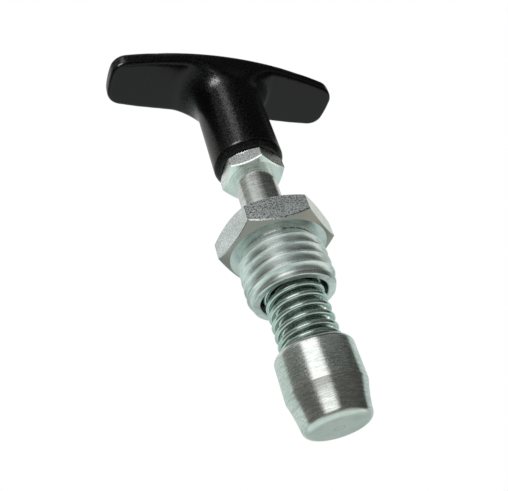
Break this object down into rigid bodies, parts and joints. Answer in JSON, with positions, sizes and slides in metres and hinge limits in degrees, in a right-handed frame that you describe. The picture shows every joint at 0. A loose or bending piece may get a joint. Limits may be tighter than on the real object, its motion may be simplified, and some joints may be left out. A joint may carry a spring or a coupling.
{
  "type": "indexing plunger",
  "caption": "Spring-loaded pull pin: T-handle on a rod that slides through a hexagon-headed threaded barrel and ends in a tapered pin head.",
  "frame": {"origin": "centre of the hexagon's underside, the face that seats on the plate the barrel is screwed into", "axes": "+Z along the plunger's axis towards the handle, -Z towards the pin's nose, X along the handle's bar"},
  "size_m": [0.0754, 0.0318, 0.1208],
  "materials": {
    "zinc_body": "bright zinc plate with a faint blue-green tint over a turned and threaded surface",
    "zinc_pin": "bright zinc plate over fine turning marks that run round the pin",
    "zinc_spring": "zinc-plated drawn wire, smooth and bright",
    "zinc_nut": "bright zinc plate, finely speckled",
    "insert_brass": "plain turned brass",
    "black_plastic": "black glass-filled plastic with a fine moulded grain and a satin sheen"
  },
  "bodies": {
    "housing": {"guide_body": "zinc_body"},
    "spring": {"spring": "zinc_spring"},
    "pull_pin": {"spindle": "zinc_pin", "lock_nut": "zinc_nut", "handle_insert": "insert_brass", "t_handle": "black_plastic"}
  },
  "joints": [
    {"name": "turn", "type": "hinge", "parent": "housing", "child": "spring", "pos_m": [0, 0, -0.03], "axis": [0, 0, 1], "continuous": true},
    {"name": "pull", "type": "slide", "parent": "spring", "child": "pull_pin", "axis": [0, 0, 1], "range_m": [0, 0.015], "stiffness_N_per_m": 1200, "deforming": ["spring"]}
  ]
}
